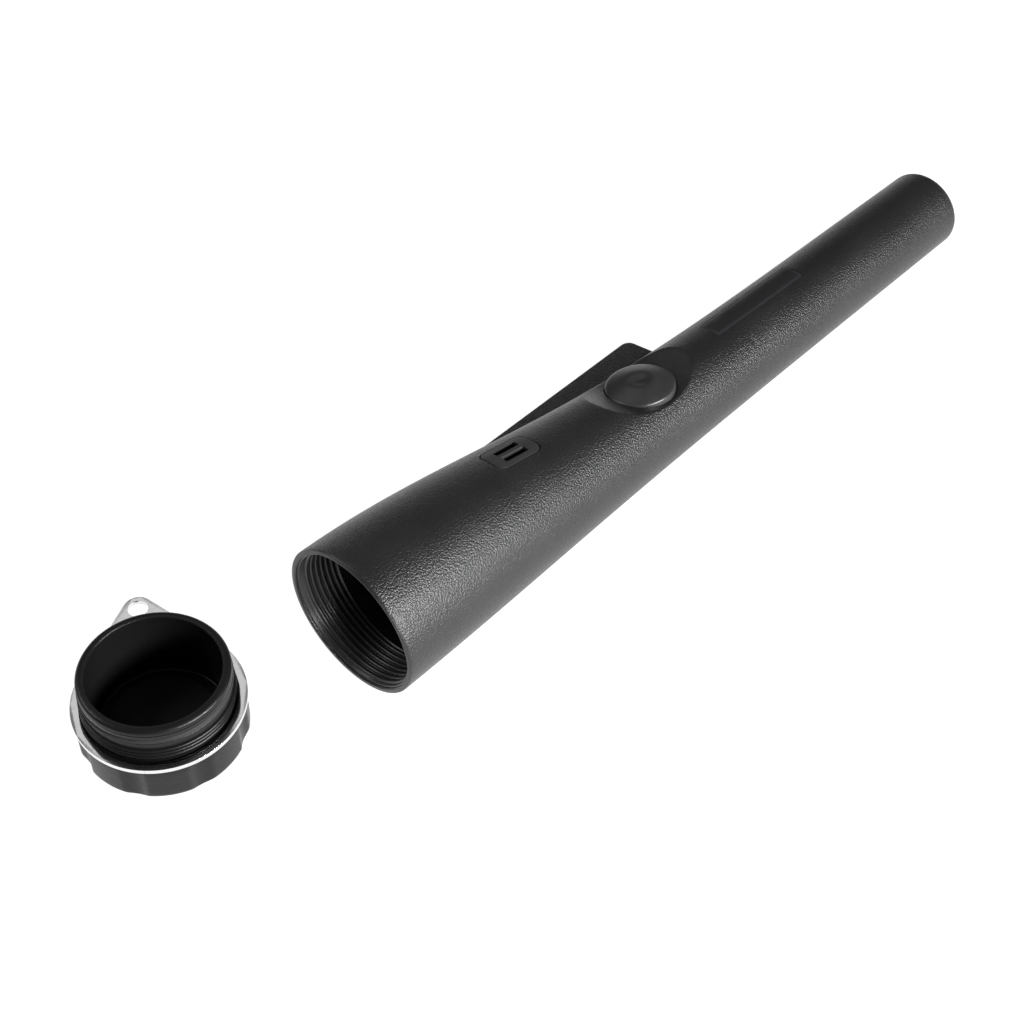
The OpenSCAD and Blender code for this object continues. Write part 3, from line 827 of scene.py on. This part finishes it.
# ---------------------------------------------------------------------------
# Battery bay's inner end. A moulded plate pegged to the bulkhead, with a plated
# stud and a spring socket that snap to the battery's own.
# ---------------------------------------------------------------------------
inner_plastic = satin_black("inner_plastic", 0.032, 0.44, 2200, 0.00002)
for node in ("contact_plate", "bulkhead", "pcb_carrier", "speaker_bracket", "motor_clip"):
    refinish(node, inner_plastic)


def laid_box(node):
    """A node's lowest and highest corners in the body's own straight lie, in millimetres."""
    back = laid.inverted()
    places = [back @ v.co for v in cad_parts[node].data.vertices]
    return (Vector([min(p[i] for p in places) for i in range(3)]),
            Vector([max(p[i] for p in places) for i in range(3)]))


def plated_metal(name, first, second, roughness=0.22, draw=(1, 1, 1), depth=0.000006):
    """Bare or plated metal with fine drawing lines along one way and dull handling marks."""
    material, shader, place = new_finish(name, Metallic=1.0)
    lines = place.turned(scale=draw).noise(1800, 4, 0.65)
    dull = place.noise(300, 4).band(0.45, 0.7)
    feed(shader, Base_Color=dull.tint(first, second),
         Roughness=lines.spread(roughness - 0.06, roughness + 0.08) + dull * 0.1,
         Normal=lines.bump(depth))
    return material


bright_steel = plated_metal("bright_steel", (0.62, 0.61, 0.59), (0.45, 0.44, 0.42))
snap_low, snap_high = laid_box("snap_contacts")
snap_h = snap_high.x - snap_low.x
snap_pitch = 12.7
stud_r = 2.9
socket_r = 4.0
socket_bore = 3.1
petals = 6
along_back = Matrix(((0, 0, -1, 0), (1, 0, 0, 0), (0, -1, 0, 0), (0, 0, 0, 1)))
snaps = turned_form("snaps", [(0, 0), (stud_r, 0), (stud_r, 0.35), (stud_r - 0.5, 0.7),
                              (stud_r - 0.5, 1.4)]
                    + arc(stud_r - 0.6, snap_h - 0.6, 0.6, 0, 90, 5) + [(0, snap_h)], 64)
socket = ring_form("socket", [(socket_bore, 0.6), (0.4, 0.6), (0.4, 0), (socket_r, 0),
                              (socket_r, snap_h - 0.5), (socket_r - 0.3, snap_h),
                              (socket_bore + 0.1, snap_h), (socket_bore, snap_h - 0.2)], 96)
split_outline = [(1.5, -0.25), (socket_r + 1, -0.25), (socket_r + 1, 0.25), (1.5, 0.25)]


def turned_cuts(piece, outline, low, high, turns):
    """Cuts the same outline out of a piece at each of these turns about Z."""
    for turn in turns:
        cutter = slab("cutter", outline, low, high)
        cutter.data.transform(Matrix.Rotation(turn, 4, "Z"))
        joined_with(piece, cutter)
    return piece


turned_cuts(socket, split_outline, 0.9, snap_h + 1, [2 * pi * k / petals for k in range(petals)])
snaps.data.transform(Matrix.Translation((0, snap_pitch / 2, 0)) @ along_back)
socket.data.transform(Matrix.Translation((0, -snap_pitch / 2, 0)) @ along_back)
merged(snaps, socket)
finished(snaps, "snap_studs", bright_steel, "body", ["snap_contacts"],
         laid @ Matrix.Translation((snap_high.x, 0, (snap_low.z + snap_high.z) / 2)), 35)

# ---------------------------------------------------------------------------
# Circuit board. Glass-fibre board in green solder mask over its tracks; four
# pan-head screws with cross recesses hold it on the carrier's bosses.
# ---------------------------------------------------------------------------
board_z = laid_box("main_board")[1].z


def solder_mask():
    """Green lacquer over copper tracks, which stand up slightly and look paler."""
    material, shader, place = new_finish("solder_mask", Specular_IOR_Level=0.5, Coat_Weight=0.4)
    flat = place.straight(scale=(1, 1, 0.01))
    tracks = flat.node("ShaderNodeTexVoronoi", {"feature": "DISTANCE_TO_EDGE"},
                       {"Vector": flat, "Scale": 420.0, "Randomness": 0.35}).band(0.05, 0.09, 1, 0)
    weave = (flat.part("X") * 14000).math("SINE") * (flat.part("Y") * 14000).math("SINE")
    feed(shader, Base_Color=tracks.tint((0.012, 0.085, 0.035), (0.045, 0.20, 0.075)),
         Roughness=place.noise(500, 3).spread(0.22, 0.34),
         Normal=(tracks + weave * 0.08).bump(0.00003))
    return material


refinish("main_board", solder_mask())


def set_out_tree():
    """Puts a copy of one small piece at every point, as one plain mesh."""
    tree = bpy.data.node_groups.new("set_out", "GeometryNodeTree")
    for name, kind in (("Points", "Geometry"), ("Pattern", "Object"), ("Material", "Material")):
        tree_socket(tree, name, kind)
    tree_socket(tree, "Geometry", "Geometry", "OUTPUT")
    given = tree.nodes.new("NodeGroupInput").outputs
    pattern = tree.nodes.new("GeometryNodeObjectInfo")
    copies = tree.nodes.new("GeometryNodeInstanceOnPoints")
    real = tree.nodes.new("GeometryNodeRealizeInstances")
    coated = tree.nodes.new("GeometryNodeSetMaterial")
    out = tree.nodes.new("NodeGroupOutput")
    for source, target in ((given["Pattern"], pattern.inputs["Object"]),
                           (given["Points"], copies.inputs["Points"]),
                           (pattern.outputs["Geometry"], copies.inputs["Instance"]),
                           (copies.outputs[0], real.inputs[0]),
                           (real.outputs[0], coated.inputs["Geometry"]),
                           (given["Material"], coated.inputs["Material"]),
                           (coated.outputs[0], out.inputs[0])):
        tree.links.new(source, target)
    return tree


set_out = set_out_tree()


def repeated(name, pattern, places, material):
    """Copies of a small piece at these places, as one mesh; the pattern is used up."""
    points = bpy.data.meshes.new(name)
    points.from_pydata(places, [], [])
    made = grown(name, set_out, points, Pattern=pattern, Material=material)
    bpy.data.objects.remove(pattern)
    return made


screw_low, screw_high = laid_box("board_screws")
screw_r = 1.0
screw_head_r = 1.8
screw_head_h = 1.2
screw_side_h = 0.35
screw_core_r = screw_r - 0.15
screw_tip = screw_low.z - board_z
head_arc = [(screw_head_r * cos(t), screw_side_h + (screw_head_h - screw_side_h) * sin(t))
            for t in (0.3, 0.6, 0.9, 1.2, 1.45)]
screw = turned_form("screw", [(0, screw_tip), (0.45, screw_tip + 0.2),
                              (screw_core_r, screw_tip + 0.9), (screw_core_r, -0.1), (screw_r, 0),
                              (screw_head_r, 0), (screw_head_r, screw_side_h)]
                    + head_arc + [(0, screw_head_h)], 48)
cross = (0, pi / 2)
turned_cuts(screw, rectangle(2, 0.34), screw_head_h - 0.6, screw_head_h + 1, cross)
merged(screw, grown("screw_thread", wound_helix, Material=bright_steel, Radius=screw_r - 0.16,
                    Height=3.0, Turns=6.0, Start_Height=screw_tip + 1, Section_Width=0.28,
                    Section_Depth=0.32, Steps=32, Section_Sides=6))
screw_places = [(x, y, board_z) for x in (screw_low.x + screw_head_r, screw_high.x - screw_head_r)
                for y in (screw_low.y + screw_head_r, screw_high.y - screw_head_r)]
screws = repeated("screws", screw, screw_places, bright_steel)
finished(screws, "pan_head_screws", bright_steel, "body", ["board_screws"],
         laid, 35)

# ---------------------------------------------------------------------------
# Board's components. Moulded chips on gull-wing legs, radial capacitors in blue
# sleeves, and a square trimmer with a brass dial; all are soldered to the board.
# ---------------------------------------------------------------------------
chips = ((-28, 6, 4), (-18, 9, 9), (12, 5, 4))
chip_h = 1.5
leg_pitch = 0.8
leg_reach = 0.8
epoxy = satin_black("chip_epoxy", 0.016, 0.5, 3400, 0.00001)
solder_tin = plated_metal("solder_tin", (0.66, 0.65, 0.62), (0.50, 0.49, 0.46), 0.3)
chip_bodies = None
for along, length, width in chips:
    chip = slab("chip", rectangle(length, width), board_z + 0.1, board_z + chip_h, 0.14)
    dot = slab("dot", arc(-length / 2 + 0.9, -width / 2 + 0.9, 0.35, 0, 360, 24)[:-1],
               board_z + chip_h - 0.12, board_z + chip_h + 1)
    joined_with(chip, dot)
    chip.data.transform(Matrix.Translation((button_x + along, 0, 0)))
    chip_bodies = merged(chip_bodies, chip) if chip_bodies else chip
finished(chip_bodies, "chip_bodies", epoxy, "body", ["control_chips"], laid, 30)

leg_bend = [(0, 0.65), (0.2, 0.65), (0.34, 0.02), (leg_reach, 0.02), (leg_reach, 0.14),
            (0.44, 0.14), (0.3, 0.79), (0, 0.79)]
leg_rows = None
for side in (-1, 1):
    leg = slab("leg", leg_bend, -0.18, 0.18)
    leg.data.transform(Matrix(((0, 0, 1, 0), (side, 0, 0, 0), (0, 1, 0, 0), (0, 0, 0, 1))))
    if side < 0:
        leg.data.flip_normals()
    foot_places = []
    for along, length, width in chips:
        count = int(length / leg_pitch)
        first = button_x + along - (count - 1) / 2 * leg_pitch
        foot_places += [(first + k * leg_pitch, side * width / 2, board_z) for k in range(count)]
    row = repeated("legs", leg, foot_places, solder_tin)
    leg_rows = merged(leg_rows, row) if leg_rows else row
finished(leg_rows, "chip_legs", solder_tin, "body", ["control_chips"], laid, 30)


def two_tone(name, lower, upper, change_z, roughness=0.3, metal_above=0.0):
    """One finish up to a height above the board, and another from there up."""
    material, shader, place = new_finish(name, Specular_IOR_Level=0.5)
    change = change_z * MM
    above = place.straight().part("Z").band(change - 0.00002, change + 0.00002)
    marks = place.noise(900, 4).spread()
    feed(shader, Base_Color=above.tint(marks.tint(lower, [c * 1.3 for c in lower]),
                                       marks.tint(upper, [c * 0.8 for c in upper])),
         Metallic=above * metal_above, Roughness=marks * 0.08 + roughness,
         Normal=marks.bump(0.000008))
    return material


capacitor_r = 2.4
capacitor_h = laid_box("capacitors")[1].z - board_z
bead_r = capacitor_r - 0.22
can = turned_form("can", [(0, 0.25), (capacitor_r - 0.5, 0.2), (capacitor_r - 0.15, 0),
                          (capacitor_r, 0.3), (capacitor_r, 0.8), (bead_r, 1.05),
                          (capacitor_r, 1.3), (capacitor_r, capacitor_h - 0.3),
                          (capacitor_r - 0.12, capacitor_h - 0.08),
                          (capacitor_r - 0.4, capacitor_h),
                          (capacitor_r - 0.55, capacitor_h - 0.06), (0, capacitor_h - 0.06)], 48)
turned_cuts(can, rectangle(2.6, 0.14), capacitor_h - 0.16, capacitor_h + 1, cross)
sleeve = two_tone("capacitor_sleeve", (0.012, 0.022, 0.07), (0.6, 0.6, 0.6),
                  board_z + capacitor_h - 0.07, 0.25, 1)
can_places = [(button_x + along, across, board_z) for along, across in ((-10, 5), (8, 5), (8, -5))]
cans = repeated("cans", can, can_places, sleeve)
finished(cans, "capacitor_cans", sleeve, "body", ["capacitors"], laid, 30)
trimmer_block_h = 3.02
refinish("tuning_trimmer", two_tone("trimmer_blue", (0.01, 0.08, 0.32), (0.55, 0.40, 0.16),
                                    board_z + trimmer_block_h, 0.28, 1))
refinish("switch_body", epoxy)
plunger_white = (0.6, 0.6, 0.57)
refinish("switch_plunger", two_tone("plunger_white", plunger_white, plunger_white, board_z, 0.35))

# ---------------------------------------------------------------------------
# Speaker. A drawn steel basket with its magnet pressed in behind, and a pressed
# film cone with a rolled edge and a dust cap, glued into the basket's rim.
# ---------------------------------------------------------------------------
cone_low, cone_high = laid_box("speaker_cone")
cone_r = (cone_high.y - cone_low.y) / 2
cone_h = cone_high.z - cone_low.z
dust_cap_r = 2.6
film_r = 5.6
film_t = 0.2
film_top = cone_h - 0.55
roll_r = (cone_r - film_r) / 2
cone_profile = [(dust_cap_r * sin(t), 0.9 + 0.7 * cos(t)) for t in (0, 0.35, 0.7, 1.05, 1.4)]
cone_profile += [(dust_cap_r, 0.85), (film_r, film_top)]
cone_profile += [(film_r + roll_r * (1 - cos(t)), film_top + 0.5 * sin(t))
                 for t in (0.5, 1, 1.57, 2.1, 2.6)]
cone_profile += [(cone_r, film_top), (cone_r, film_top - film_t), (film_r + 0.1, film_top - film_t),
                 (1.8, 0.15), (0, 0.15)]
cone = turned_form("cone", cone_profile, 96)


def pressed_film():
    """Black pressed film with fine radial creases and a soft sheen."""
    material, shader, place = new_finish("pressed_film", Specular_IOR_Level=0.4)
    fibres = place.noise(1500, 5, 0.7)
    feed(shader, Base_Color=fibres.spread().tint((0.012, 0.012, 0.012), (0.028, 0.028, 0.028)),
         Roughness=fibres.spread(0.5, 0.65), Normal=fibres.bump(0.00004))
    return material


finished(cone, "speaker_film", pressed_film(), "body", ["speaker_cone"],
         laid @ Matrix.Translation(((cone_low.x + cone_high.x) / 2, 0, cone_low.z)), 40)
refinish("speaker_frame", bright_steel)
refinish("speaker_magnet",
         plated_metal("magnet_nickel", (0.42, 0.42, 0.42), (0.30, 0.30, 0.30), 0.3))

# ---------------------------------------------------------------------------
# Vibration motor. A drawn steel can in a moulded clip; its thin shaft carries a
# sintered half-round weight that is pressed on.
# ---------------------------------------------------------------------------
refinish("motor_can", plated_metal("motor_steel", (0.56, 0.56, 0.56), (0.40, 0.40, 0.40), 0.26,
                                   (14, 1, 1)))
refinish("motor_shaft", bright_steel)
refinish("eccentric_weight",
         plated_metal("sintered_tungsten", (0.34, 0.31, 0.26), (0.22, 0.20, 0.17), 0.42,
                      depth=0.00003))

# ---------------------------------------------------------------------------
# Leads. Two insulated wires from the battery bay, red and black, and two of
# enamelled copper from the search coils, soldered to the board.
# ---------------------------------------------------------------------------


def lead_pair(name, right, left):
    """Wire insulation, with a colour for each of the pair."""
    material, shader, place = new_finish(name, Specular_IOR_Level=0.5)
    side = place.straight().part("Y").band(-0.0001, 0.0001)
    bloom = place.noise(1200, 3)
    feed(shader, Base_Color=side.tint(right, left), Roughness=bloom.spread(0.34, 0.46),
         Normal=bloom.bump(0.000015))
    return material


refinish("battery_leads", lead_pair("lead_insulation", (0.010, 0.010, 0.010), (0.38, 0.015, 0.012)))
copper_enamel = plated_metal("copper_enamel", (0.55, 0.20, 0.07), (0.42, 0.13, 0.045), 0.26)
refinish("coil_leads", copper_enamel)

# ---------------------------------------------------------------------------
# Search coils. A sintered ferrite rod in a moulded ivory former; the receive and
# the transmit winding are layers of enamelled copper wire between its flanges.
# ---------------------------------------------------------------------------
wire_d = 0.42


def sintered_ferrite():
    """Dark grey ceramic with fine pores and grinding marks."""
    material, shader, place = new_finish("sintered_ferrite", Specular_IOR_Level=0.6)
    pores = place.cells(1900).band(0.1, 0.35)
    feed(shader, Base_Color=pores.tint((0.014, 0.014, 0.015), (0.052, 0.052, 0.055)),
         Roughness=place.noise(700, 4).spread(0.34, 0.52), Normal=pores.bump(0.00003))
    return material


def ivory_nylon():
    """Ivory nylon, slightly waxy, with flow marks along its length."""
    material, shader, place = new_finish("ivory_nylon", Specular_IOR_Level=0.5)
    flow = place.turned(scale=(0.2, 1, 1)).noise(420, 4)
    feed(shader, Base_Color=flow.spread().tint((0.62, 0.57, 0.43), (0.70, 0.65, 0.52)),
         Roughness=flow.spread(0.36, 0.48), Normal=flow.bump(0.00002))
    return material


refinish("ferrite_rod", sintered_ferrite())
refinish("coil_former", ivory_nylon())
refinish("nose_pad", rubber("nose_foam", 0.03))
former_r = 5.4
coil_gap = 0.02
for node in ("receive_winding", "transmit_winding"):
    coil_low, coil_high = laid_box(node)
    coil_l = coil_high.x - coil_low.x
    coil_r = (coil_high.y - coil_low.y) / 2
    coil_turns = int((coil_l - wire_d) / wire_d)
    coil = ring_form("coil", [(former_r + coil_gap, coil_gap), (coil_r - wire_d, coil_gap),
                              (coil_r - wire_d, coil_l - coil_gap),
                              (former_r + coil_gap, coil_l - coil_gap)], 96)
    merged(coil, grown("wire", wound_helix, Material=copper_enamel,
                       Radius=coil_r - wire_d / 2 - 0.01, Height=coil_turns * wire_d,
                       Turns=float(coil_turns), Start_Height=wire_d / 2 + 0.01,
                       Section_Width=wire_d, Section_Depth=wire_d, Steps=64, Section_Sides=8))
    coil_place = Matrix.Translation((coil_low.x, 0, (coil_low.z + coil_high.z) / 2)) @ along_body
    finished(coil, node + "_wire", copper_enamel, "body", [node],
             laid @ coil_place, 50)

# ---------------------------------------------------------------------------
# Screw cap. A black moulding that stands on its crown: eight shallow flutes for
# the fingers, a neck with a coarse thread and a seal groove, and a deep cup.
# ---------------------------------------------------------------------------
cap_low, cap_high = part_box("cap_shell")
cap_foot = Matrix.Translation(((cap_low.x + cap_high.x) / 2, (cap_low.y + cap_high.y) / 2,
                               cap_low.z))
cap_h = (cap_high.z - cap_low.z) / MM
ring_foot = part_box("lanyard_ring")[0].z
crown_h = (ring_foot - cap_low.z) / MM - 0.02
crown_r = 19.3
crown_edge = 2.0
crown_lip = 1.0
flutes = 8
flute_r = 5.1
flute_depth = 0.9
flute_turn = radians(32)
neck_r = thread_r - 0.3
rim_r = thread_r - 0.1
groove_r = neck_r - 1.0
groove_w = 1.8
groove_z = cap_h - 2.5 - groove_w
cup_r = 15.1
cup_floor = 3.0
cup_round = 0.6


def fluted(r, z, turn):
    """The crown's radius, with a shallow flute scooped out every eighth of a turn."""
    if z > crown_h - 0.01 or r < neck_r:
        return r
    spacing = 2 * pi / flutes
    off = (turn - flute_turn + spacing / 2) % spacing - spacing / 2
    centre = crown_r + flute_r - flute_depth
    if abs(centre * sin(off)) >= flute_r:
        return r
    scoop = centre * cos(off) - sqrt(flute_r ** 2 - (centre * sin(off)) ** 2)
    return softer_min(r, scoop, 0.55)


cap_profile = [(0, 0.25), (9.5, 0.25), (10.0, 0)]
cap_profile += arc(crown_r - crown_edge, crown_edge, crown_edge, -90, 0, 10)
cap_profile += [(crown_r, crown_edge + (crown_h - crown_lip - crown_edge) * k / 6)
                for k in range(1, 7)]
cap_profile += arc(crown_r - crown_lip, crown_h - crown_lip, crown_lip, 0, 85, 7)[1:]
cap_profile += [(neck_r + 0.25, crown_h), (neck_r, crown_h + 0.25), (neck_r, groove_z - 0.12),
                (neck_r - 0.12, groove_z), (groove_r, groove_z), (groove_r, groove_z + groove_w),
                (rim_r - 0.12, groove_z + groove_w), (rim_r, groove_z + groove_w + 0.12),
                (rim_r, cap_h - 1.62), (rim_r - 0.16, cap_h - 1.54), (rim_r - 0.16, cap_h - 1.38),
                (rim_r, cap_h - 1.30), (rim_r, cap_h - 0.7), (rim_r - 0.2, cap_h - 0.35),
                (rim_r - 0.75, cap_h), (cup_r + 0.2, cap_h), (cup_r, cap_h - 0.2),
                (cup_r, cup_floor + cup_round)]
cap_profile += arc(cup_r - cup_round, cup_floor + cup_round, cup_round, 0, -90, 4)[1:]
cap_profile += [(0, cup_floor)]
cap = turned_form("cap", cap_profile, 320, fluted)
cap_turns = 3.1
cap_pitch = 1.05
merged(cap, grown("cap_thread", wound_helix, Material=thread_black, Radius=neck_r + 0.02,
                  Height=cap_turns * cap_pitch, Turns=cap_turns, Start_Height=crown_h + 2.2,
                  Section_Width=0.72, Section_Depth=1.2, Steps=140, Section_Sides=12))


def cap_finish():
    """Smooth black plastic, rubbed paler on the crown's edge; inside the cup it is glossier and
    painted a fixed deep black as painted shade of the deep cup.
    """
    material, shader, place = new_finish("cap_satin", Specular_IOR_Level=0.24)
    centre = cap_foot.translation
    local = place.turned(location=(-centre.x, -centre.y, -centre.z))
    x, y = local.part("X"), local.part("Y")
    outward = (x * x + y * y).math("SQRT")
    within = outward.band((cup_r - 0.05) * MM, (cup_r + 0.15) * MM, 1, 0)
    inside = within * local.part("Z").band((cup_floor - 0.2) * MM, cup_floor * MM)
    grain = place.noise(2800, 3)
    marks = place.turned((0.4, 0.1, 0.2), scale=(1, 1, 5)).noise(200, 5, 0.7).band(0.4, 0.75)
    wear = outward.band((crown_r - 0.6) * MM, crown_r * MM) * marks
    outer = wear.tint((0.006, 0.006, 0.0065), (0.010, 0.010, 0.0105))
    # Inside the cup the colour is a fixed deep black, a touch darker than the outside: painted
    # shade of the deep cup.
    feed(shader, Base_Color=inside.tint(outer, (0.006, 0.006, 0.0062)),
         Roughness=grain.spread(0.28, 0.38) * (1 - inside * 0.3),
         Normal=(grain + place.noise(900, 2) * 1.5).bump(0.00003))
    return material


finished(cap, "screw_cap", cap_finish(), "cap", ["cap_shell"],
         cap_foot @ Matrix.Scale(MM, 4), 38)
refinish("battery_pad", rubber("pad_foam", 0.005))

# ---------------------------------------------------------------------------
# Lanyard ring. Stamped sheet steel, tumbled and chromed, loose on the neck of
# the cap, with a teardrop ear that is pierced for a cord.
# ---------------------------------------------------------------------------
ring_r = 19.7
ring_hole_r = neck_r + 0.9
ring_t = 1.1
eye_reach = 27.3
eye_r = 2.4
ear_r = eye_r + 1.2
eye_turn = 61
tangent = degrees(acos((ring_r - ear_r) / eye_reach))
ear_outline = arc(eye_reach, 0, ear_r, -tangent, tangent, 24)
ear_outline += arc(0, 0, ring_r, tangent, 360 - tangent, 150)
lanyard = slab("lanyard", unique(ear_outline), 0, ring_t)
for x, r, sides in ((0, ring_hole_r, 160), (eye_reach, eye_r, 48)):
    joined_with(lanyard, slab("hole", arc(x, 0, r, 0, 360, sides)[:-1], -1, ring_t + 1))
eased(lanyard, 0.32, 4, 50)


def bright_chrome():
    """Tumbled chrome: bright, with fine ripples and a few dull scuffs."""
    material, shader, place = new_finish("bright_chrome", Metallic=1.0)
    ripple = place.noise(700, 3)
    scuffs = place.turned((0.2, 0.5, 0.9), scale=(1, 6, 1)).noise(420, 5, 0.75).band(0.55, 0.75)
    feed(shader, Base_Color=scuffs.tint((0.80, 0.80, 0.81), (0.62, 0.62, 0.63)),
         Roughness=scuffs.band(0, 1, 0.12, 0.30), Normal=ripple.bump(0.000006))
    return material


ring_place = Matrix.Translation((cap_foot.translation.x, cap_foot.translation.y, ring_foot))
finished(lanyard, "lanyard_ring_plate", bright_chrome(), "ring", ["lanyard_ring"],
         ring_place @ Matrix.Rotation(radians(eye_turn), 4, "Z") @ Matrix.Scale(MM, 4), 50)
